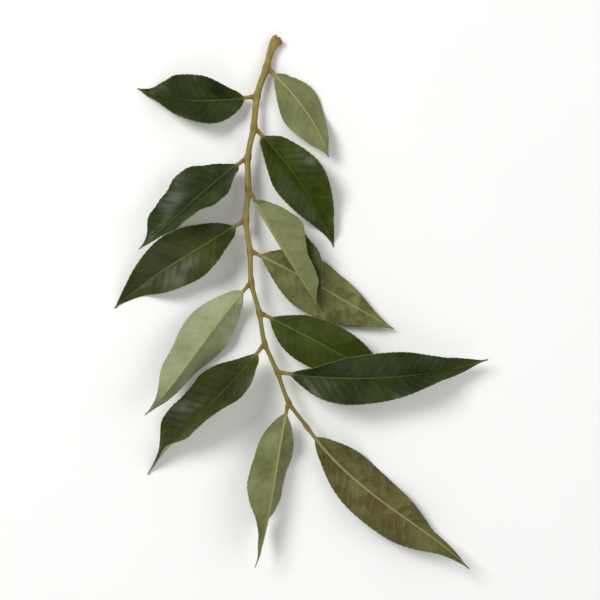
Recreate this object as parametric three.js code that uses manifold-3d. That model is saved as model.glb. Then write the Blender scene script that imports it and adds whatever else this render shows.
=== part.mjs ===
// A curry leaf sprig: one compound leaf of the curry tree, picked with its heel and lying on a flat surface.
// A slender rachis carries leaflets in turn on its two sides and one at its end. Each leaflet is one solid
// with its own short stalk, and each stalk stops a hair short of the rachis that carries it.
// Millimetres. +Z is up, the surface is z = 0, and the sprig runs from its heel at +Y to its end leaflet.
import * as THREE from "three";
import { mergeVertices } from "three/addons/utils/BufferGeometryUtils.js";
import Module from "manifold-3d";

// ---------------------------------------------------------------- driving dimensions

// The rachis, from the torn heel to the foot of the end leaflet.
const RACHIS = {
  length: 110,
  rootRadius: 0.95, // just past the heel
  tipRadius: 0.5, // at the end leaflet
  taper: 0.8, // below 1 thins it sooner
  lift: 7, // how high the leaflets carry it
  sag: 0.3, // share of that lift lost by its far end
};
// Its path in plan, in degrees from -Y towards +X: a steady bend, a sharper one near the end, and a slight
// zigzag away from each leaflet.
const HEADING = { start: -18, bend: 42, hook: 12, hookSharpness: 6, zigzag: 6 };
// The swollen foot that tore away from the branch. Its centre is lower than its radius, so it rests on a
// flat spot.
const HEEL = { radius: 1.7, reach: 3, height: 0.95, turn: 38, rounding: 1.1, roundness: 0.86 };
// Where leaflets join the rachis, each a small swelling.
const NODES = { first: 9, pitch: 8.4, swelling: 0.22, reach: 1.1 };
const JOINT_GAP = 0.35; // between a leaflet's stalk and the rachis

const STALK = { length: 3.2, radius: 0.5, flattening: 0.8 }; // a leaflet's own stalk
const TWIST_LENGTH = 4.2; // from the rachis to where a leaflet has its full roll
const CURL_POWER = 5; // larger keeps a tip's curl nearer the tip
const REST_FROM = 0.3; // share of a blade beyond which it may rest on the surface
const BLADE = {
  thickness: 0.65,
  midrib: 0.45, // stands out of the underside
  widestFar: 0.36, // of the length, on the half towards the sprig's tip
  widestNear: 0.44, // on the other half, so the foot is oblique
  taper: 2.3, // larger is a narrower foot and tip
  tip: 0.36, // half-width left at the very tip
  opening: 3, // half-width over which the stalk flattens into blade
};
// The waves along a blade's edges. In waves: how many there are, how far the edge towards the heel is ahead of
// the other one, and how far each leaflet's are ahead of the last one's.
const WAVE = { count: 2.3, lead: 0.35, stagger: 0.37 };

// One row for each leaflet, from the heel on: the first leans to +X, the next to -X, and so in turn.
// length, width: of the blade. angle: from the rachis, in degrees, as are sweep, hook, roll, twist and fold.
// sweep: its turn in plan over its length. hook: more of that turn, near its tip. roll: the edge towards the
// sprig's tip goes up, and near 180 the underside is on top. twist: how much further it rolls by its tip.
// fold: each half's slope at the midrib. cup: how much steeper each half gets, in degrees per millimetre.
// wave: height of its edges' waves. rise: how it leaves the rachis. curl: how far its tip turns up. clear: how
// far the lowest point of its outer part stays above the surface.
const LEAFLETS = [
  // length, width, angle, sweep, hook, roll, twist, fold, cup, wave, rise, curl, clear
  [27, 14, 62, -16, -14, 178, 20, 30, 1.5, 0.8, 9, 0, 0.5],
  [30, 15, 70, 16, 20, -22, 56, 34, -1.2, 0.9, 4, 2, 0],
  [36, 16, 52, -14, -12, 22, -44, 36, -2, 1.2, 3, 3, 0],
  [35, 16, 50, -20, 18, 22, 20, 30, -1.5, 1, 8, 0, 5.2],
  [37, 16, 30, 6, 0, 88, -20, 72, 0.6, 0.7, 6, 0, 5.6],
  [40, 16, 60, 6, -20, 14, -34, 26, -1, 1.3, 1, 4, 0],
  [41, 16, 60, -10, 6, 186, 16, 18, 0.6, 0.9, 2, 0, 0],
  [42, 15.5, 50, -16, 20, 184, -52, 30, 1, 1.1, 5, 3, 0.6],
  [40, 14.5, 52, -6, 0, -10, -6, 14, -0.8, 0.5, -1, 0, 0],
  [45, 15.5, 54, 24, -30, 10, 62, 36, -1.8, 1.2, 5, 0, 0],
  [54, 15, 60, 20, 6, -20, 48, 30, -0.8, 1.2, 9, 5, 4.5],
  [42, 14, 40, -10, 18, 180, -78, 30, 0.8, 1, 5, 0, 0.6],
];
const END_LEAFLET = [54, 16, 0, 44, -34, 174, 48, 26, 0.6, 1.3, 4, 5, 0];

// How finely the solids are faceted.
const RACHIS_STEPS = 88;
const HEEL_STEPS = 5; // round its end
const RACHIS_SIDES = 10;
const WALK_STEPS = 220;
const STALK_STEPS = 5;
const BLADE_STEPS = 21;
const ACROSS = [-1, -0.5, -0.12, 0, 0.12, 0.5, 1]; // -1 and +1 are the blade's edges
const DROP_PASSES = 5;
const TANGENT_STEP = 0.004;

const FINISH = {
  rachis: { color: 0x8a8440, roughness: 0.55, metalness: 0 },
  upperSide: { color: 0x3f4f26, roughness: 0.42, metalness: 0 },
  underside: { color: 0x77783f, roughness: 0.6, metalness: 0 },
};

const wasm = await Module();
wasm.setup();
const { degToRad, clamp, lerp, smoothstep } = THREE.MathUtils;

// ---------------------------------------------------------------- paths in plan

/** The plan points of a path that sets out from (x, y) and turns as heading(t) says, t from 0 to 1. */
function walk(x, y, length, heading) {
  const points = [new THREE.Vector2(x, y)];
  const step = length / WALK_STEPS;
  for (let i = 0; i < WALK_STEPS; i++) {
    const h = heading((i + 0.5) / WALK_STEPS);
    const last = points[i];
    points.push(new THREE.Vector2(last.x + step * Math.sin(h), last.y - step * Math.cos(h)));
  }
  return points;
}

/** The point at t, from 0 to 1, of a list of evenly spaced plan points. */
function along(points, t) {
  const at = clamp(t, 0, 1) * (points.length - 1);
  const i = Math.min(Math.floor(at), points.length - 2);
  return points[i].clone().lerp(points[i + 1], at - i);
}

/** The frame of a path at a point: across is level, and to its right as seen from above. */
function frameAt(heading, slope) {
  const tangent = new THREE.Vector3(Math.sin(heading), -Math.cos(heading), slope).normalize();
  const across = new THREE.Vector3(-Math.cos(heading), -Math.sin(heading), 0);
  return { across, up: across.clone().cross(tangent) };
}

// ---------------------------------------------------------------- rachis

function rachisHeading(u) {
  const bend = HEADING.start + HEADING.bend * u + HEADING.hook * u ** HEADING.hookSharpness;
  const s = u * RACHIS.length;
  const heel = HEEL.turn * Math.exp(-s / HEEL.reach);
  const zigzag = HEADING.zigzag * Math.sin((Math.PI * (s - NODES.first)) / NODES.pitch);
  return degToRad(bend - heel - zigzag);
}

const RACHIS_PLAN = walk(0, 0, RACHIS.length, rachisHeading);

/** Height of the rachis's centre: an arch that rises from the heel and sags a little towards the far end. */
function rachisHeight(u) {
  return HEEL.height + RACHIS.lift * (1 - (1 - u) ** 2) * (1 - RACHIS.sag * u);
}

function rachisPoint(u) {
  const { x, y } = along(RACHIS_PLAN, u);
  return new THREE.Vector3(x, y, rachisHeight(u));
}

/** Its radius: a taper, the heel's swelling with its rounded end, and a small swelling at each node. */
function rachisRadius(u) {
  const s = u * RACHIS.length;
  let r = lerp(RACHIS.rootRadius, RACHIS.tipRadius, u ** RACHIS.taper);
  r += (HEEL.radius - RACHIS.rootRadius) * Math.exp(-((s / HEEL.reach) ** 2));
  LEAFLETS.forEach((_, k) => {
    r += NODES.swelling * Math.exp(-(((s - NODES.first - k * NODES.pitch) / NODES.reach) ** 2));
  });
  const short = Math.max(1 - s / HEEL.rounding, 0);
  return r * Math.sqrt(1 - HEEL.roundness * short * short);
}

/** Where the rings round the rachis stand: close together where the heel is rounded, then evenly spaced. */
function rachisStations() {
  const heel = HEEL.rounding / RACHIS.length;
  return [
    ...Array.from({ length: HEEL_STEPS }, (_, i) => heel * (1 - Math.cos((Math.PI * i) / (2 * HEEL_STEPS)))),
    ...Array.from({ length: RACHIS_STEPS + 1 }, (_, i) => lerp(heel, 1, i / RACHIS_STEPS)),
  ];
}

/** Rings round the rachis, each swollen by extra. */
function rachisRings(extra) {
  return rachisStations().map((u) => {
    const centre = rachisPoint(u);
    const climb = rachisHeight(u + TANGENT_STEP) - rachisHeight(u - TANGENT_STEP);
    const { across, up } = frameAt(rachisHeading(u), climb / (2 * TANGENT_STEP * RACHIS.length));
    const r = rachisRadius(u) + extra;
    return Array.from({ length: RACHIS_SIDES }, (_, j) => {
      const turn = (2 * Math.PI * (j + 0.5)) / RACHIS_SIDES;
      const outwards = across.clone().multiplyScalar(-Math.cos(turn)).addScaledVector(up, Math.sin(turn));
      return centre.clone().addScaledVector(outwards, r);
    });
  });
}

// ---------------------------------------------------------------- leaflets

/** A leaflet's sizes by name, from its row. */
function leaflet(row, side, order) {
  const [length, width, angle, sweep, hook, roll, twist, fold, cup, wave, rise, curl, clear] = row;
  return { length, width, angle, sweep, hook, roll, twist, fold, cup, wave, rise, curl, clear, side, order };
}

/** Half-width of a blade at b, from 0 at its foot to 1 at its tip: a lens whose widest place is at widest. */
function halfWidth(b, width, widest) {
  if (b <= 0) return STALK.radius;
  const foot = (b / widest) ** (widest * BLADE.taper);
  const point = (Math.max(1 - b, 0) / (1 - widest)) ** ((1 - widest) * BLADE.taper);
  return Math.max((width / 2) * foot * point, lerp(STALK.radius, BLADE.tip, b));
}

/** Where a blade's half lies at distance a from the midrib: sideways, upwards, and its slope there. Its
 *  section is an arc that sets out at the slope fold and turns by cup for each millimetre. */
function halfSection(a, fold, cup) {
  const slope = fold + cup * a;
  if (Math.abs(cup) < 1e-6) return { out: a * Math.cos(fold), up: a * Math.sin(fold), slope };
  const out = (Math.sin(slope) - Math.sin(fold)) / cup;
  const up = (Math.cos(fold) - Math.cos(slope)) / cup;
  return { out, up, slope };
}

/** One cross-section of a leaflet as [sideways, upwards] pairs: the upper face, then the underside back. */
function section(leaf, b) {
  const top = [];
  const bottom = [];
  for (const u of ACROSS) {
    const far = u * leaf.side > 0;
    const half = halfWidth(b, leaf.width, far ? BLADE.widestFar : BLADE.widestNear);
    const open = clamp((half - STALK.radius) / BLADE.opening, 0, 1); // 0 in the stalk, 1 in the blade
    const place = halfSection(Math.abs(u) * half, degToRad(leaf.fold) * open, degToRad(leaf.cup) * open);
    const phase = WAVE.count * b + WAVE.stagger * leaf.order + (far ? 0 : WAVE.lead);
    const wave = leaf.wave * open * u * u * Math.sin(2 * Math.PI * phase);
    const round = STALK.radius * Math.sqrt(1 - STALK.flattening * u * u);
    const thick = lerp(round, BLADE.thickness / 2, open);
    const rib = u === 0 ? BLADE.midrib * open * (1 - b) : 0;
    const slope = Math.sign(u) * place.slope;
    const [x, y] = [Math.sign(u) * place.out, place.up + wave];
    top.push([x - thick * Math.sin(slope), y + thick * Math.cos(slope)]);
    bottom.unshift([x + (thick + rib) * Math.sin(slope), y - (thick + rib) * Math.cos(slope)]);
  }
  return [...top, ...bottom];
}

/** Distances from the rachis at which a leaflet's rings stand, closer together at its blade's ends. */
function leafletStations(leaf, start) {
  return [
    ...Array.from({ length: STALK_STEPS }, (_, i) => lerp(start, STALK.length, i / STALK_STEPS)),
    ...Array.from({ length: BLADE_STEPS + 1 }, (_, i) => {
      const b = 0.5 - 0.5 * Math.cos((Math.PI * i) / BLADE_STEPS);
      return STALK.length + b * leaf.length;
    }),
  ];
}

/** Rings along a leaflet that leaves the rachis at u, the first at start from the rachis's centre line. It
 *  rises, then sinks with the square of the distance, by as much as brings the lowest point of its outer part
 *  to leaf.clear above the surface, and its tip turns up by the curl. */
function leafletRings(leaf, u, start) {
  const root = rachisPoint(u);
  const total = STALK.length + leaf.length;
  const setOut = rachisHeading(u) + leaf.side * degToRad(leaf.angle);
  const heading = (t) => setOut + leaf.side * degToRad(leaf.sweep * t + leaf.hook * t ** 3);
  const plan = walk(root.x, root.y, total, heading);
  let drop = 0;
  let rings = [];
  for (let pass = 0; pass < DROP_PASSES; pass++) {
    let spare = Infinity;
    rings = leafletStations(leaf, start).map((s) => {
      const t = s / total;
      const b = (s - STALK.length) / leaf.length;
      const { x, y } = along(plan, t);
      const climb = leaf.rise - 2 * drop * t + CURL_POWER * leaf.curl * t ** (CURL_POWER - 1);
      const { across, up } = frameAt(heading(t), climb / total);
      const height = root.z + leaf.rise * t - drop * t * t + leaf.curl * t ** CURL_POWER;
      const centre = new THREE.Vector3(x, y, height);
      const turned = leaf.roll * smoothstep(s, start, TWIST_LENGTH) + leaf.twist * Math.max(b, 0);
      const roll = leaf.side * degToRad(turned);
      return section(leaf, b).map(([sideways, upwards]) => {
        const point = centre
          .clone()
          .addScaledVector(across, sideways * Math.cos(roll) - upwards * Math.sin(roll))
          .addScaledVector(up, sideways * Math.sin(roll) + upwards * Math.cos(roll));
        if (b > REST_FROM) spare = Math.min(spare, (point.z - leaf.clear) / (t * t));
        return point;
      });
    });
    drop += spare;
  }
  return rings;
}

// ---------------------------------------------------------------- solids

/** A closed geometry through rings of equal count. A ring's first half is its upper side, and both sides are
 *  split into triangles alike. */
function loft(rings) {
  const n = rings[0].length;
  const half = n / 2;
  const end = rings.length - 1;
  const index = [];
  const id = (i, j) => i * n + (j % n);
  for (let i = 0; i < end; i++) {
    for (let j = 0; j < n; j++) {
      const [a, b, c, d] = [id(i, j), id(i, j + 1), id(i + 1, j + 1), id(i + 1, j)];
      if (j < half) index.push(a, b, c, a, c, d);
      else index.push(a, b, d, b, c, d);
    }
  }
  for (let j = 0; j < half - 1; j++) {
    const [upper, next, under, underNext] = [j, j + 1, n - 1 - j, n - 2 - j];
    index.push(id(0, upper), id(0, underNext), id(0, next), id(0, upper), id(0, under), id(0, underNext));
    index.push(id(end, upper), id(end, next), id(end, underNext));
    index.push(id(end, upper), id(end, underNext), id(end, under));
  }
  const geometry = new THREE.BufferGeometry();
  geometry.setFromPoints(rings.flat());
  geometry.setIndex(index);
  return geometry;
}

function toManifold(geometry) {
  const bare = geometry.clone();
  bare.deleteAttribute("normal");
  bare.deleteAttribute("uv");
  const merged = mergeVertices(bare, 1e-4);
  const vertProperties = new Float32Array(merged.attributes.position.array);
  const triVerts = new Uint32Array(merged.index.array);
  return new wasm.Manifold(new wasm.Mesh({ numProp: 3, vertProperties, triVerts }));
}

function toMesh(solid, name, finish) {
  const { vertProperties, triVerts } = solid.getMesh();
  const geometry = new THREE.BufferGeometry();
  geometry.setAttribute("position", new THREE.BufferAttribute(new Float32Array(vertProperties), 3));
  geometry.setIndex(new THREE.BufferAttribute(new Uint32Array(triVerts), 1));
  geometry.computeVertexNormals();
  const mesh = new THREE.Mesh(geometry, new THREE.MeshStandardMaterial(finish));
  mesh.name = name;
  return mesh;
}

/** A slab whose top face is the surface, to trim the flat spot under the heel. */
function surfaceSlab() {
  const [side, depth] = [4 * RACHIS.length, 4 * HEEL.radius];
  return toManifold(new THREE.BoxGeometry(side, side, depth).translate(0, 0, -depth / 2));
}

function buildSprig() {
  const sprig = new THREE.Group();
  const rachis = toManifold(loft(rachisRings(0))).subtract(surfaceSlab());
  const kept = toManifold(loft(rachisRings(JOINT_GAP))); // the room that the rachis keeps round itself
  sprig.add(toMesh(rachis, "rachis", FINISH.rachis));
  const add = (leaf, u, start, name) => {
    const solid = toManifold(loft(leafletRings(leaf, u, start))).subtract(kept);
    const undersideShows = leaf.roll > 45;
    sprig.add(toMesh(solid, name, undersideShows ? FINISH.underside : FINISH.upperSide));
  };
  LEAFLETS.forEach((row, k) => {
    const side = k % 2 === 0 ? 1 : -1;
    const u = (NODES.first + k * NODES.pitch) / RACHIS.length;
    add(leaflet(row, side, k), u, 0, `leaflet_${String(k + 1).padStart(2, "0")}`);
  });
  add(leaflet(END_LEAFLET, 1, LEAFLETS.length), 1, JOINT_GAP, "leaflet_end");
  return sprig;
}

const sprig = buildSprig();
const middle = new THREE.Box3().setFromObject(sprig).getCenter(new THREE.Vector3());
sprig.position.set(-middle.x, -middle.y, 0);

export default sprig;
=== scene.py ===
"""Dresses a curry leaf sprig: fine leaflets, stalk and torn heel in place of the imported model's plain solids.

Lengths are in millimetres and angles in degrees unless a name says otherwise. Meshes are written in metres.
"""

import logging
import math
from dataclasses import dataclass, field
from enum import Enum
from typing import Any, Callable, Optional, Union

import bpy
import numpy as np
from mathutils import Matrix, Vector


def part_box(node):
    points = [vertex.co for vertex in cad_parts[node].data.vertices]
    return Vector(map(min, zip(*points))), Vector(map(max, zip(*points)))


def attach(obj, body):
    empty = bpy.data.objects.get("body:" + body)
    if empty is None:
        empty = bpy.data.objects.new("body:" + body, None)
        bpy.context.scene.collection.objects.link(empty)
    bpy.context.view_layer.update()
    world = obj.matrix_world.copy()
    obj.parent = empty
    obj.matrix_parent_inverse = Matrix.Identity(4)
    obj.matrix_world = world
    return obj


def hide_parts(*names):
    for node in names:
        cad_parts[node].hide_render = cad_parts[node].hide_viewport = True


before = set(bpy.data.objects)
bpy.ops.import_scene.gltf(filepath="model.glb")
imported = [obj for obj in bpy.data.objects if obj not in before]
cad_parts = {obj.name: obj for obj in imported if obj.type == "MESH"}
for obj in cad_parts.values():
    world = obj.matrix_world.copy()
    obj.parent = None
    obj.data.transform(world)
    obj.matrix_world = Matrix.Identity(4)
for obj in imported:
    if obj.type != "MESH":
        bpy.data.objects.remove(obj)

log = logging.getLogger("sprig")

Array = np.ndarray
Colour = tuple[float, float, float]
Span = tuple[float, float]
METRES = 0.001
TURN = 2.0 * np.pi
BODY = "root"
SEED = 41
WALK_STEPS = 400
STREAK_STRETCH = 0.12  # how much a streak's length counts for
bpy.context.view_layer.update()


# ---- numbers and paths


def srgb(*shown: int) -> Colour:
    """Linear values of display values from 0 to 255: a straight line near black and a power above it."""
    values = np.array(shown) / 255.0
    return tuple(np.where(values <= 0.04045, values / 12.92, ((values + 0.055) / 1.055) ** 2.4).tolist())


def smoothstep(x: Array, low: float, high: float) -> Array:
    """The cubic 3t^2 - 2t^3 that goes from 0 where x is low to 1 where x is high."""
    t = np.clip((x - low) / (high - low), 0.0, 1.0)
    return t * t * (3.0 - 2.0 * t)


def bell(x: Array, width: float) -> Array:
    """The bell curve exp(-(x / width)^2)."""
    return np.exp(-((x / width) ** 2))


def crowded(count: int, share: float) -> Array:
    """Places w - share sin(2 pi w) / (2 pi) from 0 to 1, closer together at both ends."""
    w = np.linspace(0.0, 1.0, count)
    return w - share * np.sin(TURN * w) / TURN


@dataclass(frozen=True)
class Ripple:
    """A gentle random relief: a sum of sine waves that run in random directions."""

    height: float
    waves: Span  # the shortest and the longest
    terms: int  # how many waves are added
    rates: tuple[float, ...]  # what each coordinate counts for

    def over(self, rng: np.random.Generator, *coordinates: Array) -> Array:
        """The relief at each point of a surface.

        Args:
            rng: the seeded source of directions and phases.
            coordinates: the surface's coordinates, one array for each rate.

        Returns:
            The relief.
        """
        scaled = [rate * coordinate for rate, coordinate in zip(self.rates, coordinates)]
        total = 0.0
        for _ in range(self.terms):
            direction = rng.normal(size=len(scaled))
            direction /= np.linalg.norm(direction)
            number = TURN / rng.uniform(*self.waves)
            phase = rng.uniform(0.0, TURN)
            total = total + np.sin(number * sum(d * c for d, c in zip(direction, scaled)) + phase)
        return self.height * (total / math.sqrt(self.terms))


def walk(start: Array, length: float, heading: Callable[[Array], Array]) -> Array:
    """Evenly spaced plan points of a path that turns: each step adds its length times (sin h, -cos h).

    Args:
        start: the plan point it sets out from.
        length: its length.
        heading: gives the angle h in radians, from -Y towards +X, at each t from 0 to 1.

    Returns:
        An array of plan points.
    """
    h = heading((np.arange(WALK_STEPS) + 0.5) / WALK_STEPS)
    steps = np.stack([np.sin(h), -np.cos(h)], axis=1) * (length / WALK_STEPS)
    return np.asarray(start) + np.vstack([np.zeros(2), np.cumsum(steps, axis=0)])


def along(points: Array, t: Array) -> Array:
    """The plan points at each t, from 0 to 1, of a list of evenly spaced ones."""
    at = np.linspace(0.0, 1.0, len(points))
    return np.stack([np.interp(t, at, points[:, axis]) for axis in range(2)], axis=-1)


def axes_at(heading: Array, slope: Array) -> tuple[Array, Array]:
    """Unit vectors square to a path: a level one, towards -X where the path heads for -Y, and an upward one.

    Args:
        heading: the path's angle in plan, in radians.
        slope: its climb for each millimetre.

    Returns:
        The level vectors and the upward ones.
    """
    tangent = np.stack([np.sin(heading), -np.cos(heading), slope], axis=-1)
    tangent /= np.linalg.norm(tangent, axis=-1, keepdims=True)
    across = np.stack([-np.cos(heading), -np.sin(heading), np.zeros_like(heading)], axis=-1)
    return across, np.cross(across, tangent)


def rings_about(centre: Array, across: Array, sideways: Array, up: Array, upwards: Array) -> Array:
    """Rings of points round a path: centre + across x sideways + up x upwards, both square to the path."""
    return centre[:, None] + across[:, None] * sideways[..., None] + up[:, None] * upwards[..., None]


# ---- meshes


@dataclass
class Skin:
    """A closed surface: rings of equal count carried along a path, with its ends closed."""

    rings: Array  # stations by columns by 3
    uv: Array  # stations by columns by 2
    values: dict[str, Array]  # what the finish reads: stations by columns, or by 3 more

    def faces(self, start: int) -> list[list[int]]:
        """Quads between neighbouring rings, and one face over each end ring.

        Args:
            start: the number of the skin's first vertex.

        Returns:
            The faces as lists of vertex numbers, facing outwards.
        """
        stations, columns = self.rings.shape[:2]
        number = start + np.arange(stations * columns).reshape(stations, columns)
        right = np.roll(number, -1, axis=1)
        quads = np.stack([number[:-1], right[:-1], right[1:], number[1:]], axis=-1).reshape(-1, 4)
        return quads.tolist() + [number[0, ::-1].tolist(), number[-1].tolist()]


def build_piece(name: str, skins: list[Skin]) -> bpy.types.Object:
    """Makes one smooth-shaded object of one or more skins, with a UV map and attributes.

    Args:
        name: the piece's name.
        skins: its closed surfaces, with the same named values.

    Returns:
        The new object.
    """
    points = np.concatenate([skin.rings.reshape(-1, 3) for skin in skins])
    counts = [skin.rings.shape[0] * skin.rings.shape[1] for skin in skins]
    starts = np.cumsum([0, *counts[:-1]]).tolist()
    faces = [face for skin, start in zip(skins, starts) for face in skin.faces(start)]
    mesh = bpy.data.meshes.new(name)
    mesh.from_pydata((points * METRES).tolist(), [], faces)
    mesh.shade_smooth()
    corners = np.empty(len(mesh.loops), dtype=np.int32)
    mesh.loops.foreach_get("vertex_index", corners)
    uv = np.concatenate([skin.uv.reshape(-1, 2) for skin in skins])
    mesh.uv_layers.new(name="surface").data.foreach_set("uv", uv[corners].astype(np.float32).ravel())
    for title, first in skins[0].values.items():
        kind, entry = ("FLOAT_VECTOR", "vector") if first.ndim == 3 else ("FLOAT", "value")
        value = np.concatenate([skin.values[title].ravel() for skin in skins])
        mesh.attributes.new(title, kind, "POINT").data.foreach_set(entry, value.astype(np.float32))
    mesh.update()
    piece = bpy.data.objects.new(name, mesh)
    bpy.context.scene.collection.objects.link(piece)
    return piece


def install(piece: bpy.types.Object, finish: bpy.types.Material, node: str, in_place: bool = True) -> None:
    """Gives a piece its finish and its place in the frame.

    Args:
        piece: the new object.
        finish: its material.
        node: the model's node that it belongs to.
        in_place: whether it stands in that node's place.
    """
    piece.data.materials.append(finish)
    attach(piece, BODY)
    if in_place:
        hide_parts(node)


# ---- shader expressions


class Field:
    """A value that varies over a surface: a node's output, on which Python's operators add Math nodes."""

    def __init__(self, shader: "Shader", socket: Optional[bpy.types.NodeSocket]) -> None:
        """Wraps an output socket of one shader."""
        self.shader = shader
        self.socket = socket

    def __add__(self, other: "Number") -> "Field":
        """This value plus the other."""
        return self.shader.math("ADD", self, other)

    def __sub__(self, other: "Number") -> "Field":
        """This value less the other."""
        return self.shader.math("SUBTRACT", self, other)

    def __rsub__(self, other: "Number") -> "Field":
        """The other value less this one."""
        return self.shader.math("SUBTRACT", other, self)

    def __mul__(self, other: "Number") -> "Field":
        """This value times the other."""
        return self.shader.math("MULTIPLY", self, other)

    __radd__ = __add__
    __rmul__ = __mul__

    def size(self) -> "Field":
        """This value without its sign."""
        return self.shader.math("ABSOLUTE", self)

    def floor(self) -> "Field":
        """The whole number at or below this value."""
        return self.shader.math("FLOOR", self)

    def step(self, low: float, high: float) -> "Field":
        """A smooth step from 0 where this value is low to 1 where it is high, whichever is the greater."""
        settings = {"interpolation_type": "SMOOTHSTEP"}
        return self.shader.node("ShaderNodeMapRange", settings, {0: self, 1: low, 2: high})


Number = Union[Field, float]
Paint = Union[Field, Colour]


class Shader:
    """One material's nodes, added by expressions."""

    def __init__(self, name: str) -> None:
        """Starts an empty material.

        Args:
            name: its name.
        """
        self.material = bpy.data.materials.new(name)
        self.material.use_nodes = True
        self.tree = self.material.node_tree
        self.tree.nodes.clear()

    def node(self, kind: str, settings: dict[str, Any], inputs: dict[Any, Any], out: int = 0) -> Field:
        """Adds a node.

        Args:
            kind: the node's type.
            settings: its properties, which are set first.
            inputs: a number, colour or Field for each socket, by the socket's name or place.
            out: which output is wanted.

        Returns:
            That output, or an empty Field from the node that ends a material.
        """
        node = self.tree.nodes.new(kind)
        for key, value in settings.items():
            setattr(node, key, value)
        for key, value in inputs.items():
            socket = node.inputs[key]
            if isinstance(value, Field):
                self.tree.links.new(value.socket, socket)
            elif isinstance(value, tuple) and len(socket.default_value) == 4:
                socket.default_value = (*value, 1.0)
            else:
                socket.default_value = value
        return Field(self, node.outputs[out] if len(node.outputs) else None)

    def math(self, operation: str, *values: Number) -> Field:
        """A Math node on numbers or Fields."""
        return self.node("ShaderNodeMath", {"operation": operation}, dict(enumerate(values)))

    def mix(self, share: Number, first: Paint, second: Paint) -> Field:
        """The first colour with a share of the second laid over it."""
        return self.node("ShaderNodeMix", {"data_type": "RGBA"}, {0: share, 6: first, 7: second}, out=2)

    def coats(self, ground: Paint, *layers: tuple[Number, Paint]) -> Paint:
        """A ground with coats laid over it one after the other, each given by its share and colour."""
        for share, colour in layers:
            ground = self.mix(share, ground, colour)
        return ground

    def value(self, name: str) -> Field:
        """A number attribute of the mesh."""
        return self.node("ShaderNodeAttribute", {"attribute_name": name}, {}, out=2)

    def vector(self, name: str) -> Field:
        """A vector attribute of the mesh."""
        return self.node("ShaderNodeAttribute", {"attribute_name": name}, {}, out=1)

    def place(self) -> Field:
        """The point's place on the object, in metres."""
        return self.node("ShaderNodeTexCoord", {}, {}, out=3)

    def noise(self, at: Field, size: float, detail: float = 3.0, roughness: float = 0.55) -> Field:
        """Cloudy noise about 0.5, with clouds of a size in millimetres, read at a place in metres."""
        inputs = {"Vector": at, "Scale": 1.0 / (size * METRES), "Detail": detail, "Roughness": roughness}
        return self.node("ShaderNodeTexNoise", {}, inputs)

    def cells(self, at: Field, size: float, feature: str = "F1") -> Field:
        """Distance from the middles of random cells, or by its feature another one, in cells of that size."""
        inputs = {"Vector": at, "Scale": 1.0 / (size * METRES)}
        return self.node("ShaderNodeTexVoronoi", {"feature": feature}, inputs)

    def bump(self, height: Field, depth: float, strength: float = 1.0) -> Field:
        """A normal tilted by a height from 0 to 1 that is so many millimetres deep."""
        inputs = {"Height": height, "Distance": depth * METRES, "Strength": strength}
        return self.node("ShaderNodeBump", {}, inputs)

    def surface(self, colour: Field, roughness: Number, normal: Field, **same: float) -> bpy.types.Material:
        """Ends the material with its surface shader.

        Args:
            colour: its base colour.
            roughness: its roughness.
            normal: its normal.
            same: any other socket, the same all over, by its name with underscores for spaces.

        Returns:
            The finished material.
        """
        inputs = {"Base Color": colour, "Roughness": roughness, "Normal": normal}
        inputs.update({name.replace("_", " "): number for name, number in same.items()})
        shaded = self.node("ShaderNodeBsdfPrincipled", {}, inputs)
        self.node("ShaderNodeOutputMaterial", {}, {"Surface": shaded})
        return self.material


# ---- finishes


class Tone(Enum):
    """How a leaflet has aged since it was picked."""

    FRESH = "fresh"
    YOUNG = "young"
    MATURE = "mature"
    OLIVE = "olive"
    BLOTCHED = "blotched"
    BRONZED = "bronzed"


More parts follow.
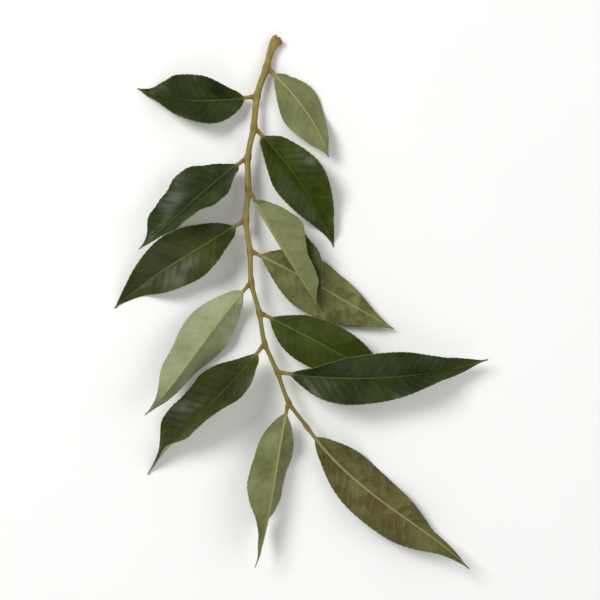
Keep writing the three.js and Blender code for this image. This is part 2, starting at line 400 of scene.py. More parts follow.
@dataclass(frozen=True)
class LeafFinish:
    """One tone of leaflet: a semi-gloss upper face and a matte, paler underside, both with veins."""

    tone: Tone
    dark: Colour  # the upper face, from its darkest
    light: Colour  # to its lightest
    under: Colour
    under_light: Colour
    stained: float  # how much of the blade the blotches take, from 0 to 1
    vein: Colour = srgb(122, 128, 72)
    under_vein: Colour = srgb(158, 156, 104)
    stain: Colour = srgb(74, 60, 26)
    speck: Colour = srgb(70, 52, 24)
    dry: Colour = srgb(122, 96, 50)  # a withered tip or edge
    stalk: Colour = srgb(134, 120, 58)
    joint: Colour = srgb(116, 78, 34)
    rim: Colour = srgb(120, 124, 70)
    gloss: float = 0.40  # roughness of the upper face
    matte: float = 0.62  # roughness of the underside
    cloud: float = 9.0  # how wide its patches are, as the next three
    mottle: float = 2.2
    grain: float = 0.7
    blotch: float = 5.5
    net: float = 0.62  # how wide its meshes are
    gland: float = 0.5  # how far apart the oil glands are
    spot: float = 3.1  # how far apart the specks are
    depth: float = 0.05  # of the relief

    def material(self) -> bpy.types.Material:
        """Builds the nodes: broad clouds, side veins, fine net, midrib, pale rim, blotches and stalk.

        Returns:
            The material.
        """
        shader = Shader(f"leaf_{self.tone.value}")
        at = shader.place()
        upper = shader.value("upper").step(0.35, 0.65)
        stalk = shader.value("stalk")
        joint = shader.value("joint")
        midrib = shader.value("from_midrib")
        rim = shader.value("to_margin")
        phase = shader.value("vein_phase")

        clouds = shader.noise(at, self.cloud, 4.0).step(0.32, 0.68)
        mottle = shader.noise(at, self.mottle, 4.0).step(0.3, 0.7)
        grain = shader.noise(at, self.grain)
        net = shader.cells(at, self.net, "DISTANCE_TO_EDGE").step(0.16, 0.0)
        glands = shader.cells(at, self.gland).step(0.24, 0.10)
        from_vein = (phase - (phase + 0.5).floor()).size()
        inside = rim.step(0.15, 1.6)
        line = from_vein.step(0.075, 0.015) * shader.noise(at, 4.0, 2.0).step(0.25, 0.6) * inside
        flank = from_vein.step(0.42, 0.04) * inside
        stains = shader.noise(at, self.blotch, 5.0, 0.62)
        blotch = stains.step(0.66 - 0.24 * self.stained, 0.80 - 0.30 * self.stained)
        specks = shader.cells(at, self.spot).step(0.11, 0.05) * shader.noise(at, 7.0, 2.0).step(0.52, 0.62)
        edge = rim.step(0.9, 0.0) * shader.noise(at, 3.4).step(0.56, 0.66)
        tip = shader.value("reach").step(0.955, 1.0)
        withered = tip * 0.8 + edge * self.stained * 0.9

        face = shader.coats(
            shader.mix(clouds * 0.8 + mottle * 0.2, self.dark, self.light),
            (blotch * (0.2 + 0.4 * self.stained), self.stain),
            (flank * 0.09, self.light),
            (net * 0.07, self.light),
            (line * 0.10, self.vein),
            (glands * 0.07, self.vein),
            (midrib.step(3.2, 0.7) * 0.25, self.light),
            (midrib.step(0.75, 0.40) * 0.6, self.vein),
        )
        back = shader.coats(
            shader.mix(clouds * 0.7 + mottle * 0.3, self.under, self.under_light),
            (blotch * (0.2 + 0.5 * self.stained), self.stain),
            (flank * 0.10, self.under_light),
            (net * 0.07, self.dark),
            (line * 0.15, self.under_vein),
            (glands * 0.12, self.dark),
            (midrib.step(1.2, 0.7) * 0.6, self.under_vein),
        )
        paint = shader.coats(
            shader.mix(upper, back, face),
            (rim.step(0.25, 0.02) * 0.45, self.rim),
            (specks * 0.6, self.speck),
            (withered, self.dry),
            (stalk, shader.mix(joint * (0.35 + 0.6 * mottle), self.stalk, self.joint)),
        )
        roughness = self.matte - (self.matte - self.gloss) * upper + (grain - 0.5) * 0.12 + net * 0.03
        fine = 0.08 * (1.0 - net) + 0.08 * (1.0 - glands)
        relief = 0.35 * (1.0 - line) + 0.3 * grain + fine + 0.4 * joint * mottle
        normal = shader.bump(relief, self.depth, 0.7)
        return shader.surface(paint, roughness, normal, IOR=1.42, Specular_IOR_Level=0.28)


FINISHES = {
    tone: LeafFinish(tone, *(srgb(*shade) for shade in shades), stained)
    for tone, stained, *shades in (
        # tone, stained, then the display values of dark, light, under and under_light
        (Tone.FRESH, 0.1, (27, 36, 8), (48, 60, 17), (100, 107, 64), (128, 134, 93)),
        (Tone.YOUNG, 0.1, (40, 50, 7), (64, 76, 16), (108, 115, 66), (132, 139, 90)),
        (Tone.MATURE, 0.1, (36, 44, 10), (60, 69, 22), (130, 136, 96), (158, 163, 128)),
        (Tone.OLIVE, 0.2, (44, 50, 12), (70, 76, 26), (96, 101, 56), (124, 128, 86)),
        (Tone.BLOTCHED, 0.7, (48, 52, 15), (74, 78, 28), (90, 94, 48), (118, 122, 74)),
        (Tone.BRONZED, 0.8, (47, 47, 16), (73, 71, 28), (76, 74, 36), (105, 102, 58)),
    )
}


@dataclass(frozen=True)
class RachisFinish:
    """The stalk's finish: satin olive-yellow, streaked lengthwise, brown at the joints and the torn heel."""

    base: Colour = srgb(126, 111, 42)
    bright: Colour = srgb(162, 147, 74)
    green: Colour = srgb(103, 100, 38)
    joint: Colour = srgb(116, 74, 32)
    torn: Colour = srgb(176, 132, 78)
    bark: Colour = srgb(84, 58, 32)
    pore: Colour = srgb(96, 74, 38)
    streak: float = 0.5
    thread: float = 0.16
    cloud: float = 8.0
    pore_gap: float = 0.42
    fibre: float = 0.22
    greening: Span = (30.0, 110.0)
    satin: float = 0.46
    depth: float = 0.12

    def material(self) -> bpy.types.Material:
        """Builds the nodes: streaks along the stalk, a greener far end, joints, pores and the torn heel.

        Returns:
            The material.
        """
        shader = Shader("rachis_skin")
        at = shader.place()
        streak_at = shader.vector("streak")
        joint = shader.value("joint")
        heel = shader.value("heel")

        streaks = shader.noise(streak_at, self.streak)
        threads = shader.noise(streak_at, self.thread)
        clouds = shader.noise(at, self.cloud).step(0.35, 0.65)
        pores = shader.cells(streak_at, self.pore_gap).step(0.22, 0.12)
        pores = pores * shader.noise(at, 2.5, 2.0).step(0.48, 0.6)
        fibres = shader.noise(streak_at, self.fibre, 4.0, 0.7)
        far = shader.value("distance").step(*self.greening)

        paint = shader.coats(
            shader.mix(streaks.step(0.35, 0.7), self.base, self.bright),
            (far * 0.55 + clouds * 0.2, self.green),
            (threads.step(0.58, 0.44) * 0.28, self.green),
            (pores * 0.5, self.pore),
            (joint * (0.55 + 0.5 * (streaks - 0.5)), self.joint),
            (heel, shader.mix(fibres.step(0.3, 0.6) * 0.5, self.bark, self.torn)),
            (shader.value("torn_face"), shader.mix(fibres.step(0.35, 0.6), self.joint, self.torn)),
        )
        roughness = self.satin + 0.25 * (streaks - 0.5) + 0.25 * heel
        relief = 0.4 * streaks + 0.3 * threads + 0.3 * fibres + 0.3 * pores
        normal = shader.bump(relief, self.depth, 0.8)
        return shader.surface(paint, roughness, normal, IOR=1.45, Specular_IOR_Level=0.4)


# ---- rachis


@dataclass
class Rachis:
    """The stalk from its torn heel to the end leaflet's foot, a round tube that swells at heel and nodes."""

    # the path
    length: float = 110.0
    lift: float = 7.0
    sag: float = 0.3  # how much of that it loses again
    set_out: float = -18.0
    bend: float = 42.0
    hook: float = 12.0
    hook_sharpness: float = 6.0
    zigzag: float = 6.0
    first_node: float = 9.0
    node_pitch: float = 8.4
    nodes: int = 12
    # the tube
    root_radius: float = 0.95
    tip_radius: float = 0.5
    taper: float = 0.8
    node_swelling: float = 0.18
    end_swelling: float = 0.2
    node_reach: float = 1.1
    collar: float = 0.38
    collar_reach: float = 0.95
    collar_from: Span = (0.1, 0.9)
    ribs: tuple = ((0.022, 7.0, 0.05, 0.0), (0.016, 11.0, -0.08, 1.0))  # height, count, turning, phase
    groove: float = 0.10
    groove_width: float = 0.5
    wobble: Ripple = Ripple(0.03, (1.5, 5.0), 8, (0.5, 1.5, 1.5))
    # the torn heel
    heel_radius: float = 1.7
    heel_reach: float = 3.0
    heel_height: float = 0.95
    heel_turn: float = 38.0
    heel_rounding: float = 1.1
    heel_roundness: float = 0.86
    rim_at: float = 0.35
    bowl: float = 0.4
    sole: float = 0.3
    torn_reach: float = 1.3
    rags: Ripple = Ripple(1.0, (0.7, 2.0), 8, (0.7, 2.2, 2.2))
    rag_length: float = 0.22
    rag_depth: float = 0.08
    # how brown it is
    node_brown: float = 0.75
    node_brown_at: float = 0.1
    node_brown_reach: float = 0.8
    collar_brown: float = 0.9
    heel_brown: float = 1.6
    heel_clear: float = 0.25
    face_edge: float = 0.88
    # the mesh
    face_hub: float = 0.05
    face_rings: int = 9
    stations: int = 620
    sides: int = 40
    slope_step: float = 0.004

    def __post_init__(self) -> None:
        """Walks the path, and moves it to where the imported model's stalk lies."""
        self.path = walk(np.zeros(2), self.length, self.heading)
        u = np.linspace(0.0, 1.0, WALK_STEPS)
        centre, (across, up) = self.centre(u), self.axes(u)
        reach = self.radius(u)[:, None] * np.sqrt(across**2 + up**2)
        own = (np.min(centre - reach, axis=0) + np.max(centre + reach, axis=0)) / 2
        low, high = (np.array(corner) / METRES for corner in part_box("rachis"))
        self.path = self.path + ((low + high) / 2 - own)[:2]

    def heading(self, u: Array) -> Array:
        """The path's angle: a steady bend, a sharper hook at the far end, the heel's own turn, and a sine
        wave that turns away from each leaflet in turn.

        Args:
            u: shares of the length.

        Returns:
            The angles, in radians.
        """
        s = u * self.length
        bend = self.set_out + self.bend * u + self.hook * u**self.hook_sharpness
        zigzag = self.zigzag * np.sin(np.pi * (s - self.first_node) / self.node_pitch)
        return np.radians(bend - self.heel_turn * np.exp(-s / self.heel_reach) - zigzag)

    def height(self, u: Array) -> Array:
        """Height of the centre: lift (1 - (1 - u)^2) (1 - sag u) above the heel's."""
        return self.heel_height + self.lift * (1.0 - (1.0 - u) ** 2) * (1.0 - self.sag * u)

    def centre(self, u: Array) -> Array:
        """The centre line's points."""
        u = np.asarray(u, dtype=float)
        return np.concatenate([along(self.path, u), self.height(u)[..., None]], axis=-1)

    def axes(self, u: Array) -> tuple[Array, Array]:
        """Level and upward unit vectors square to the centre line."""
        climb = self.height(u + self.slope_step) - self.height(u - self.slope_step)
        return axes_at(self.heading(u), climb / (2.0 * self.slope_step * self.length))

    def node_at(self, k: int) -> float:
        """How far along the rachis leaflet k leaves, as a share of its length."""
        return (self.first_node + k * self.node_pitch) / self.length

    def joints(self, s: Array, reach: float) -> Array:
        """The sum of a bell curve at each node, over the distance s from the heel."""
        return sum(bell(s - self.node_at(k) * self.length, reach) for k in range(self.nodes))

    def radius(self, u: Array) -> Array:
        """The radius: a taper, bell curves for heel and nodes, and a rounded end at the heel.

        Args:
            u: shares of the length.

        Returns:
            The radii.
        """
        s = u * self.length
        r = self.root_radius + (self.tip_radius - self.root_radius) * np.abs(u) ** self.taper
        r = r + (self.heel_radius - self.root_radius) * bell(s, self.heel_reach)
        r = r + self.node_swelling * self.joints(s, self.node_reach)
        short = np.clip(1.0 - s / self.heel_rounding, 0.0, 1.0)
        return r * np.sqrt(1.0 - self.heel_roundness * short**2)

    def depth(self, u: float, angle: float) -> float:
        """How far a stalk leaving at u, at an angle, runs inside: radius / sin(angle), and 0 at the end."""
        return float(self.radius(np.array(u))) / math.sin(math.radians(angle)) if u < 1.0 else 0.0

    def nearness(self, points: Array, root: Array, direction: Array) -> Array:
        """How near points are to a leaflet's stalk where it comes out: exp(-(distance from its axis /
        reach)^2), on its side of the rachis only.

        Args:
            points: an array of points.
            root: where the stalk's axis meets the rachis's centre line.
            direction: the way that the stalk sets out.

        Returns:
            The share, from 0 to 1, at each point.
        """
        offset = points - root
        forward = offset @ direction
        aside = np.linalg.norm(offset - forward[..., None] * direction, axis=-1)
        return bell(aside, self.collar_reach) * smoothstep(forward, *self.collar_from)

    def grid(self) -> tuple[Array, Array]:
        """Stations from the middle of the torn face out to its rim, and on to the far end.

        Returns:
            Their distances from the heel and their shares of the radius, as columns.
        """
        share = np.linspace(self.face_hub, 1.0, self.face_rings)[:-1]
        tube = np.linspace(self.rim_at, self.length, self.stations)
        s = np.concatenate([np.full(share.size, self.rim_at), tube])
        return s[:, None], np.concatenate([share, np.ones(tube.size)])[:, None]

    def skin(self, stalks: list[tuple[Array, Array]]) -> Skin:
        """The tube's surface. Its radius gets fine lengthwise ribs and a shallow groove on top. Near each
        leaflet's stalk the surface is drawn out along it. The torn face is a bowl, and a ripple that fades
        with the distance from its rim makes both ragged.

        Args:
            stalks: the root and the direction of each leaflet's stalk.

        Returns:
            The surface with what its finish reads.
        """
        rng = np.random.default_rng(SEED)
        s, share = self.grid()
        u = s[:, 0] / self.length
        a = (TURN * np.arange(self.sides) / self.sides)[None, :]
        round_it = [np.cos(a) * share, np.sin(a) * share]
        wobble = self.wobble.over(rng, s, *round_it)
        rags = self.rags.over(rng, s, *round_it)
        torn = np.exp(-(s - self.rim_at) / self.torn_reach)

        ribs = sum(rib * np.sin(count * a + turning * s + phase) for rib, count, turning, phase in self.ribs)
        groove = self.groove * bell(np.angle(np.exp(1j * (a - TURN / 4))), self.groove_width)
        r = self.radius(u)[:, None] + self.end_swelling * bell(s - self.length, self.node_reach)
        r = r * (1.0 + ribs - groove * (1.0 - torn) + wobble + self.rag_depth * rags * torn) * share

        across, up = self.axes(u)
        shift = self.bowl * (1.0 - share**2) + self.rag_length * rags * torn
        rings = rings_about(self.centre(u), across, -r * np.cos(a), up, r * np.sin(a))
        rings = rings + np.cross(up, across)[:, None] * shift[..., None]
        near = [self.nearness(rings, root, direction) for root, direction in stalks]
        for share_near, (_, direction) in zip(near, stalks):
            rings = rings + self.collar * share_near[..., None] * direction
        rings[..., 2] = np.maximum(rings[..., 2], self.sole * (1.0 - share))

        ones = np.ones_like(r)
        streak = np.stack([s * STREAK_STRETCH * ones, *round_it], axis=-1) * METRES
        knots = self.joints(s - self.node_brown_at, self.node_brown_reach)
        knots = knots + bell(s - self.length, self.node_brown_reach)
        values = {
            "streak": streak,
            "joint": np.clip(self.node_brown * knots + self.collar_brown * sum(near), 0.0, 1.0),
            "heel": np.clip(self.heel_brown * torn * (1.0 + 0.5 * rags) - self.heel_clear, 0.0, 1.0),
            "torn_face": smoothstep(-share, -1.0, -self.face_edge) * ones,
            "distance": s * ones,
        }
        return Skin(rings, np.stack([s / self.length * ones, a / TURN * ones], axis=-1), values)

    def build(self, finish: bpy.types.Material, stalks: list[tuple[Array, Array]]) -> None:
        """Makes the stalk in place of the model's, drawn out round each leaflet's stalk."""
        install(build_piece("rachis_stalk", [self.skin(stalks)]), finish, "rachis")


@dataclass
class Strands:
    """Torn strands at the heel's rim: each starts inside it and runs back along the stalk."""

    rachis: Rachis
    count: int = 18
    root: float = 0.8
    lengths: Span = (-0.1, 0.6)
    droops: Span = (0.0, 0.3)
    widths: Span = (0.07, 0.18)
    flatness: Span = (0.25, 0.6)
    depths: Span = (0.4, 0.8)
    splay: float = 0.2
    sway: float = 0.35
    thinning: float = 0.55
    frayed: float = 0.6
    rings: int = 12
    sides: int = 8

    def strand(self, rng: np.random.Generator, turn: float) -> Skin:
        """One strand: it splays outwards and droops with the square of the distance w along it, sways with
        its cube, and stays above the surface. Its section is flat, and thins with the cube of w.

        Args:
            rng: the seeded source of its sizes.
            turn: its angle round the stalk.

        Returns:
            The strand with what its finish reads.
        """
        start = np.array([(self.rachis.rim_at + self.root) / self.rachis.length])
        across, up = self.rachis.axes(start)
        back = np.cross(across, up)[0]
        outward = -across[0] * math.cos(turn) + up[0] * math.sin(turn)
        aside = np.cross(outward, back)
        w = np.linspace(0.0, 1.0, self.rings)[:, None]
        a = (TURN * np.arange(self.sides) / self.sides)[None, :]

        length = self.root + rng.uniform(*self.lengths)
        splay, sway = rng.normal(0.0, self.splay), rng.normal(0.0, self.sway)
        droop, half, flat = (rng.uniform(*span) for span in (self.droops, self.widths, self.flatness))
        depth = rng.uniform(*self.depths) * float(self.rachis.radius(start)[0])
        path = self.rachis.centre(start)[0] + outward * (depth + splay * w**2)
        path = path + back * (length * w) + aside * (sway * w**3)
        path[:, 2] = np.maximum(path[:, 2] - droop * w[:, 0] ** 2, half)
        taper = half * (1.0 - self.thinning * w**3)
        rings = rings_about(path, aside[None], taper * np.cos(a), outward[None], taper * flat * np.sin(a))

        ones = np.ones_like(w * a)
        streak = np.stack([w * length * STREAK_STRETCH * ones, half * np.cos(a) * ones, turn * ones], axis=-1)
        values = {"streak": streak * METRES, "joint": 0 * ones, "heel": ones, "torn_face": self.frayed * ones}
        uv = np.stack([w * ones, a / TURN * ones], axis=-1)
        return Skin(rings, uv, {**values, "distance": 0 * ones})

    def build(self, finish: bpy.types.Material) -> None:
        """Makes the strands, spread at random round the rim.

        Args:
            finish: the stalk's material.
        """
        rng = np.random.default_rng(SEED + 1)
        skins = [self.strand(rng, turn) for turn in rng.uniform(0.0, TURN, self.count)]
        install(build_piece("heel_fibres", skins), finish, "rachis", in_place=False)


# ---- leaflets


def around(top: Array, low: Array) -> Array:
    """Rings that run over the upper face and back under the lower one, with the margins once."""
    return np.concatenate([top, low[:, -2:0:-1]], axis=1)


@dataclass
class Leaflet:
    """One leaflet with its own short stalk. The blade is a thin folded sheet between two margins."""

    rachis: Rachis
    name: str  # of the node that it stands for
    order: int  # its place in the row of leaflets, from 0
    side: int  # 1 where it leans to +X and -1 where it leans to -X
    at: float  # where it leaves the rachis, as a share of the rachis's length
    length: float  # of the blade, as the next
    width: float
    angle: float  # from the rachis
    sweep: float  # its turn in plan over its length
    hook: float  # more of that turn, near its tip
    roll: float  # the edge towards the sprig's tip goes up, and near 180 the underside is on top
    twist: float  # how much further it rolls over its length
    fold: float  # each half's slope at the midrib
    cup: float  # how much steeper each half gets for each millimetre
    wave: float  # height of its margins' waves
    rise: float  # how high it would climb over its length
    curl: float  # how far its tip turns up
    clear: float  # how far the lowest point of its outer part stays above the surface
    tone: Tone
    # the path
    start: float = 0.35  # where its first ring stands
    twist_length: float = 4.2  # of the stalk's roll
    curl_power: int = 5
    rest_from: float = 0.3  # where its outer part begins
    drop_passes: int = 6
    # the stalk
    stalk_length: float = 3.2
    stalk_radius: float = 0.5
    stalk_rows: int = 16
    pulvinus: float = 0.10
    pulvinus_at: float = 0.6
    pulvinus_reach: float = 0.9
    flare: float = 0.14
    flare_reach: float = 0.45
    tuck: float = 0.35
    joint_end: Span = (-0.06, 0.0)  # as shares of the blade, as the next
    green_from: Span = (-0.02, 0.04)
    brown_at: float = 0.35
    brown_reach: float = 0.75
    # the outline
    widest_far: float = 0.36
    widest_near: float = 0.44
    taper: float = 2.3
    tip: float = 0.24
    tip_rounding: float = 0.6
    opening: float = 3.0
    tooth_pitch: float = 1.5
    tooth_depth: float = 0.15
    tooth_stagger: float = 0.3
    rows: int = 190
    last_row: float = 0.9995
    half_columns: int = 20
    # the section
    thickness: float = 0.28
    thin_from: Span = (0.3, 0.6)
    rounding: float = 0.25
    least_half: float = 0.3
    midrib: float = 0.34
    midrib_widths: Span = (0.28, 0.10)
    vein: float = 0.05
    vein_width: float = 0.12
    channel: Span = (0.10, 0.55)  # depth and width
    crest: Span = (0.09, 0.15)  # height and width
    # the veins' places
    vein_pitch: float = 2.5
    vein_slant: float = 4.4
    vein_bow: float = 1.3
    vein_stagger: float = 0.5
    vein_jitter: float = 0.16
    drift: tuple = (0.9, 2.0, 1.7)  # of that jitter, by distance, leaflet and half
    # the relief
    wave_count: float = 2.3
    wave_lead: float = 0.35
    wave_stagger: float = 0.37
    frill: Ripple = Ripple(0.16, (4.0, 9.0), 4, (1.0, 0.5))
    creases: Ripple = Ripple(0.10, (5.0, 14.0), 7, (1.0, 1.0))
    creased_from: Span = (0.02, 0.4)
    quilting: float = 0.055
    quilted_from: Span = (0.04, 0.25)
    quilted_to: Span = (0.75, 1.0)
    crumple: float = 1.5

    def __post_init__(self) -> None:
        """Lays the leaflet out flat: values at stations along it, a column, and at places across it, a row.
        Its margins are toothed, and its side veins slant towards the tip."""
        self.surface = self.rachis.depth(self.at, self.angle)  # how far out the rachis's skin is
        self.s = self.rows_along()[:, None]  # distance from the rachis's centre line
        self.v = self.columns_across()[None, :]  # place across, -1 and 1 at the margins
        self.far = self.v * self.side > 0  # in the half towards the sprig's tip
        self.b = (self.s - self.stalk_length) / self.length  # share of the blade's length, 0 at its foot
        self.run = np.clip(self.b, 0.0, 1.0) * self.length  # distance along the blade
        half = np.where(self.far, self.half_width(self.widest_far), self.half_width(self.widest_near))
        self.opened = np.clip((half - self.stalk_radius) / self.opening, 0.0, 1.0)  # 1 in the open blade
        lobe = np.abs(np.sin(np.pi * (self.run / self.tooth_pitch + self.tooth_stagger * self.far)))
        self.swelling = self.joint_swelling() * (1.0 - smoothstep(self.b, *self.joint_end))
        self.half = half - self.tooth_depth * self.opened * (1.0 - lobe) ** 2 + self.swelling
        self.a = np.abs(self.v) * self.half  # distance from the midrib
        slant = self.vein_slant * np.abs(self.v) ** self.vein_bow
        rate, by_leaflet, by_half = self.drift
        drift = np.sin(self.run * rate + by_leaflet * self.order + by_half * self.far)
        phase = (self.run - slant) / self.vein_pitch + self.vein_stagger * self.far
        self.phase = phase + self.vein_jitter * drift * np.abs(self.v) ** 0.5  # whole on a side vein
        foot, tip = self.midrib_widths
        self.keel = np.clip(1.0 - self.b, 0.0, 1.0)
        self.rib_width = tip + (foot - tip) * self.keel

    def rows_along(self) -> Array:
        """Where rings stand, closer together at the blade's foot and tip.

        Returns:
            Their distances from the rachis's centre line.
        """
        stalk = np.linspace(self.start, self.stalk_length, self.stalk_rows)[:-1]
        blade = np.minimum(crowded(self.rows, 0.5), self.last_row) * self.length
        return np.concatenate([stalk, self.stalk_length + blade])

    def columns_across(self) -> Array:
        """Places across the blade, -1 and 1 at its margins, closer together at midrib and margins."""
        v = crowded(self.half_columns + 1, 0.75)
        return np.concatenate([-v[:0:-1], v])

    def half_width(self, widest: float) -> Array:
        """Half-widths along the leaflet: a power of the way from the foot times a power of the way left to
        the tip, greatest at a given place, with a rounded end. They are no less than a stalk's that narrows.

        Args:
            widest: where it is greatest, as a share of the blade's length.

        Returns:
            The half-widths.
        """
        inside = np.clip(self.b, 0.0, 1.0)
        foot = (inside / widest) ** (widest * self.taper)
        point = ((1.0 - inside) / (1.0 - widest)) ** ((1.0 - widest) * self.taper)
        least = self.stalk_radius + (self.tip - self.stalk_radius) * inside
        half = np.maximum(self.width / 2 * foot * point, least)
        left = np.clip(1.0 - (1.0 - inside) * self.length / self.tip_rounding, 0.0, 1.0)
        return np.where(self.b <= 0.0, self.stalk_radius, half * np.sqrt(1.0 - left**2))

    def joint_swelling(self) -> Array:
        """How much thicker the stalk is at its joint: a bell curve, and a flare that is widest at the
        rachis's skin and narrows again inside it.

        Returns:
            What is added to the stalk's radius.
        """
        outside = self.s - self.surface
        bulge = self.pulvinus * bell(outside - self.pulvinus_at, self.pulvinus_reach)
        flare = self.flare * np.exp(-np.abs(outside) / self.flare_reach)
        return bulge + flare - self.tuck * np.clip(-outside, 0.0, None)

    def relief(self) -> Array:
        """How far the sheet stands off its plain section: the margins' waves and frill, creases, and
        quilting between the side veins.

        Returns:
            The offsets, upwards.
        """
        rng = np.random.default_rng(SEED + sum(map(ord, self.name)))
        side, out = np.sign(self.v), np.abs(self.v)
        lead = np.where(self.far, 0.0, self.wave_lead)
        turns = self.wave_count * self.run / self.length + self.wave_stagger * self.order + lead
        margins = self.wave * np.sin(TURN * turns) * out**2
        frill = self.frill.over(rng, self.run, side) * out**3
        creases = self.creases.over(rng, self.run, side * self.a) * smoothstep(out, *self.creased_from)
        body = smoothstep(out, *self.quilted_from) * (1.0 - smoothstep(out, *self.quilted_to))
        pillows = self.quilting * (0.5 - 0.5 * np.cos(TURN * self.phase)) * body
        withering = 1.0 + self.crumple * FINISHES[self.tone].stained
        return self.opened * (margins + frill + withering * (creases + pillows))

    def sheet(self) -> tuple[Array, Array, Array]:
        """The sheet's middle: each half is an arc that sets out at the slope fold and turns by cup for each
        millimetre.

        Returns:
            Its sideways and upward places, and the angle that it leans at there.
        """
        side = np.sign(self.v)
        turn = np.radians(self.cup) * self.opened * self.a
        slope = np.radians(self.fold) * self.opened + turn
        chord = self.a * np.sinc(turn / TURN)
        up = chord * np.sin(slope - turn / 2) + self.relief()
        return side * chord * np.cos(slope - turn / 2), up, side * slope

    def thicknesses(self) -> tuple[Array, Array]:
        """How far the faces are from the sheet's middle: half the thickness with rounded margins, less a
        channel with a low crest above the midrib, plus midrib and side veins below.

        Returns:
            The distances of the upper and of the lower face.
        """
        flat_to = self.opened * (1.0 - self.rounding / np.maximum(self.half, self.least_half))
        edge = np.clip((np.abs(self.v) - flat_to) / (1.0 - flat_to), 0.0, 1.0)
        round_off = np.sqrt(1.0 - edge**2)
        tip_left = np.sqrt(np.clip((1.0 - self.b) * self.length / self.tip_rounding, 0.0, 1.0))
        stalk = self.stalk_radius + self.swelling
        blade = np.maximum(self.opened, smoothstep(self.b, *self.thin_from))
        thick = (stalk + (self.thickness / 2 - stalk) * blade) * round_off * tip_left

        rib = self.midrib * self.opened * self.keel**0.8 * bell(self.a, self.rib_width)
        vein = self.vein * self.opened * bell(self.phase - np.round(self.phase), self.vein_width) * round_off
        (deep, wide), (high, narrow) = self.channel, self.crest
        dip = self.opened * self.keel**0.5 * (deep * bell(self.a, wide) - high * bell(self.a, narrow))
        return thick - dip, thick + rib + vein

    def on_both(self, value: Array) -> Array:
        """Rings of a value that is the same on both faces."""
        full = value + 0 * self.a
        return around(full, full)

    def heading(self, t: Array) -> Array:
        """The path's angle at shares of its length: it turns evenly, and more towards the tip."""
        first = float(self.rachis.heading(np.array(self.at))) + self.side * math.radians(self.angle)
        return first + self.side * np.radians(self.sweep * t + self.hook * t**3)

    def set_out(self) -> tuple[Array, Array]:
        """Finds where the stalk starts.

        Returns:
            Where it leaves the rachis's centre line, and its direction there.
        """
        h = float(self.heading(0.0))
        direction = np.array([math.sin(h), -math.cos(h), self.rise / (self.stalk_length + self.length)])
        return self.rachis.centre(np.array(self.at)), direction / np.linalg.norm(direction)

    def carry(self, sideways: Array, upwards: Array) -> Array:
        """Carries the sections along the leaflet's path, rolled about it. The path rises, then sinks with
        the square of the distance by as much as brings the lowest point of the outer part to its clearance
        above the surface, and its tip curls up.

        Args:
            sideways: the sections' sideways places.
            upwards: their upward places.

        Returns:
            The rings.
        """
        total = self.stalk_length + self.length
        t = self.s / total
        root, _ = self.set_out()
        path = walk(root[:2], total, self.heading)
        turned = self.roll * smoothstep(self.s, 0.0, self.twist_length) + self.twist * np.maximum(self.b, 0.0)
        roll = self.side * np.radians(turned)
        level = sideways * np.cos(roll) - upwards * np.sin(roll)
        lifted = sideways * np.sin(roll) + upwards * np.cos(roll)
        outer = self.b[:, 0] > self.rest_from
        drop = 0.0
        for _ in range(self.drop_passes):
            climb = self.rise - 2.0 * drop * t + self.curl_power * self.curl * t ** (self.curl_power - 1)
            across, up = axes_at(self.heading(t)[:, 0], climb[:, 0] / total)
            height = root[2] + self.rise * t - drop * t**2 + self.curl * t**self.curl_power
            centre = np.concatenate([along(path, t[:, 0]), height], axis=1)
            rings = rings_about(centre, across, level, up, lifted)
            drop += float(np.min((rings[outer, :, 2] - self.clear) / t[outer] ** 2))
        rings[..., 2] = np.maximum(rings[..., 2], 0.0)
        return rings

    def skin(self) -> Skin:
        """The leaflet's surface: the section's two faces, carried along its path.

        Returns:
            The surface with what its finish reads.
        """
        out, up, lean = self.sheet()
        over, under = self.thicknesses()
        sideways = around(out - over * np.sin(lean), out + under * np.sin(lean))
        upwards = around(up + over * np.cos(lean), up - under * np.cos(lean))
        values = {
            "from_midrib": self.a / self.rib_width,
            "to_margin": self.half - self.a,
            "stalk": 1.0 - smoothstep(self.b, *self.green_from),
            "joint": bell(self.s - self.surface - self.brown_at, self.brown_reach),
            "reach": self.b,
            "vein_phase": self.phase,
        }
        values = {name: self.on_both(value) for name, value in values.items()}
        values["upper"] = around(np.ones_like(out), np.zeros_like(out))
        values["upper"][:, [0, self.v.size - 1]] = 0.5
        uv = np.stack([self.on_both(self.b), self.on_both(0.5 + 0.5 * self.v)], axis=-1)
        return Skin(self.carry(sideways, upwards), uv, values)

    def build(self, finishes: dict[Tone, bpy.types.Material]) -> None:
        """Makes the leaflet in place of the model's, in its tone's material."""
        install(build_piece(f"{self.name}_blade", [self.skin()]), finishes[self.tone], self.name)


# ---- the whole sprig


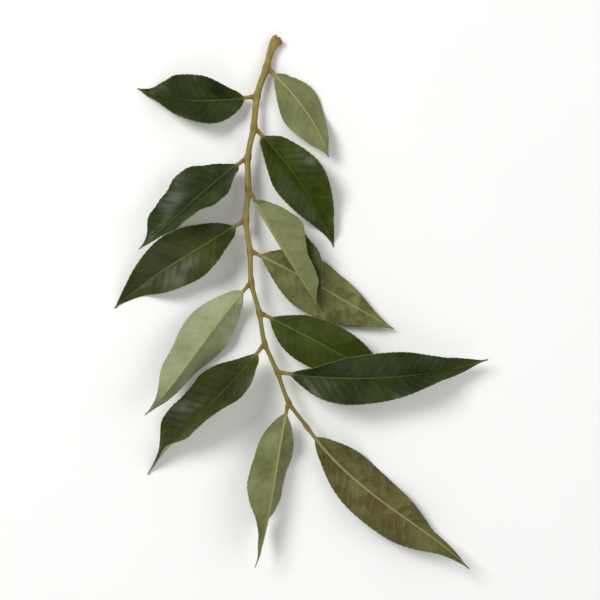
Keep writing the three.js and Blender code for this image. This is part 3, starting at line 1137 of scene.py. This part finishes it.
@dataclass
class Sprig:
    """The rachis with its leaflets, in turn on its two sides and one at its end."""

    rachis: Rachis = field(default_factory=Rachis)
    rows: tuple = (
        # length, width, angle, sweep, hook, roll, twist, fold, cup, wave, rise, curl, clear, tone
        (27, 14, 62, -16, -14, 178, 20, 30, 1.5, 0.8, 9, 0, 0.5, Tone.OLIVE),
        (30, 15, 70, 16, 20, -22, 56, 34, -1.2, 0.9, 4, 2, 0, Tone.FRESH),
        (36, 16, 52, -14, -12, 22, -44, 36, -2, 1.2, 3, 3, 0, Tone.YOUNG),
        (35, 16, 50, -20, 18, 22, 20, 30, -1.5, 1, 8, 0, 5.2, Tone.FRESH),
        (37, 16, 30, 6, 0, 88, -20, 72, 0.6, 0.7, 6, 0, 5.6, Tone.OLIVE),
        (40, 16, 60, 6, -20, 14, -34, 26, -1, 1.3, 1, 4, 0, Tone.MATURE),
        (41, 16, 60, -10, 6, 186, 16, 18, 0.6, 0.9, 2, 0, 0, Tone.BLOTCHED),
        (42, 15.5, 50, -16, 20, 184, -52, 30, 1, 1.1, 5, 3, 0.6, Tone.MATURE),
        (40, 14.5, 52, -6, 0, -10, -6, 14, -0.8, 0.5, -1, 0, 0, Tone.YOUNG),
        (45, 15.5, 54, 24, -30, 10, 62, 36, -1.8, 1.2, 5, 0, 0, Tone.MATURE),
        (54, 15, 60, 20, 6, -20, 48, 30, -0.8, 1.2, 9, 5, 4.5, Tone.FRESH),
        (42, 14, 40, -10, 18, 180, -78, 30, 0.8, 1, 5, 0, 0.6, Tone.OLIVE),
    )
    end_row: tuple = (54, 16, 0, 44, -34, 174, 48, 26, 0.6, 1.3, 4, 5, 0, Tone.BRONZED)

    def leaflets(self) -> list[Leaflet]:
        """The leaflets from the heel on, and the end one last.

        Returns:
            The leaflets.
        """
        made = []
        for k, row in enumerate(self.rows):
            side = 1 if k % 2 == 0 else -1
            made.append(Leaflet(self.rachis, f"leaflet_{k + 1:02d}", k, side, self.rachis.node_at(k), *row))
        return [*made, Leaflet(self.rachis, "leaflet_end", len(made), 1, 1.0, *self.end_row, start=0.0)]

    def build(self) -> None:
        """Makes every piece of the sprig."""
        finishes = {tone: finish.material() for tone, finish in FINISHES.items()}
        bark = RachisFinish().material()
        leaflets = self.leaflets()
        self.rachis.build(bark, [leaflet.set_out() for leaflet in leaflets[:-1]])
        Strands(self.rachis).build(bark)
        for leaflet in leaflets:
            leaflet.build(finishes)


# ---- studio


@dataclass
class Studio:
    """A pale floor, soft light from above and a camera that looks straight down. Its sizes are in metres."""

    floor_side: float = 5.0
    floor_colours: tuple[Colour, Colour] = (srgb(243, 243, 242), srgb(247, 247, 246))
    floor_mottle: float = 40.0  # millimetres, as the next
    floor_relief: float = 0.02
    floor_roughness: float = 0.8
    air: Colour = srgb(250, 249, 246)
    air_strength: float = 0.40
    frame_side: float = 0.163
    lens: float = 85.0
    sensor: float = 36.0
    lamps: tuple = (
        # place, side, watts
        ((-0.45, 0.35, 0.65), 0.35, 5.2),
        ((0.60, 0.10, 0.55), 0.50, 1.4),
        ((0.05, -0.65, 0.50), 0.50, 1.0),
    )

    def build(self) -> None:
        """Makes floor, world, lamps and camera."""
        self.build_floor()
        self.build_world()
        for number, (place, side, watts) in enumerate(self.lamps):
            self.build_lamp(f"lamp_{number}", np.array(place), side, watts)
        self.build_camera()

    def build_floor(self) -> None:
        """A level sheet at the surface that the sprig lies on, faintly mottled."""
        half = self.floor_side / 2
        mesh = bpy.data.meshes.new("floor")
        corners = [(-half, -half, 0.0), (half, -half, 0.0), (half, half, 0.0), (-half, half, 0.0)]
        mesh.from_pydata(corners, [], [(0, 1, 2, 3)])
        floor = bpy.data.objects.new("floor", mesh)
        bpy.context.scene.collection.objects.link(floor)
        shader = Shader("floor_white")
        mottle = shader.noise(shader.place(), self.floor_mottle, 2.0)
        normal = shader.bump(mottle, self.floor_relief)
        paint = shader.mix(mottle, *self.floor_colours)
        mesh.materials.append(shader.surface(paint, self.floor_roughness, normal))

    def build_world(self) -> None:
        """An even pale surrounding light."""
        world = bpy.data.worlds.new("studio")
        world.use_nodes = True
        background = world.node_tree.nodes["Background"]
        background.inputs["Color"].default_value = (*self.air, 1.0)
        background.inputs["Strength"].default_value = self.air_strength
        bpy.context.scene.world = world
        bpy.context.scene.view_settings.view_transform = "Standard"

    def build_lamp(self, name: str, place: Array, side: float, watts: float) -> None:
        """A square soft lamp that looks at the origin.

        Args:
            name: its name.
            place: where it stands.
            side: how wide it is.
            watts: its power.
        """
        data = bpy.data.lights.new(name, "AREA")
        data.shape = "SQUARE"
        data.size = side
        data.energy = watts
        lamp = bpy.data.objects.new(name, data)
        lamp.location = place
        x, y, z = -place / np.linalg.norm(place)
        lamp.rotation_euler = (math.acos(-z), 0.0, math.atan2(x, -y) + math.pi)
        bpy.context.scene.collection.objects.link(lamp)

    def build_camera(self) -> None:
        """A long lens straight above, far enough off for the frame's side at the surface."""
        data = bpy.data.cameras.new("camera")
        data.lens = self.lens
        data.sensor_width = self.sensor
        camera = bpy.data.objects.new("camera", data)
        camera.location = (0.0, 0.0, self.frame_side * self.lens / self.sensor)
        bpy.context.scene.collection.objects.link(camera)
        bpy.context.scene.camera = camera


def main() -> None:
    logging.basicConfig(level=logging.INFO, format="%(name)s %(message)s")
    Studio().build()
    Sprig().build()


if __name__ == "__main__":
    main()
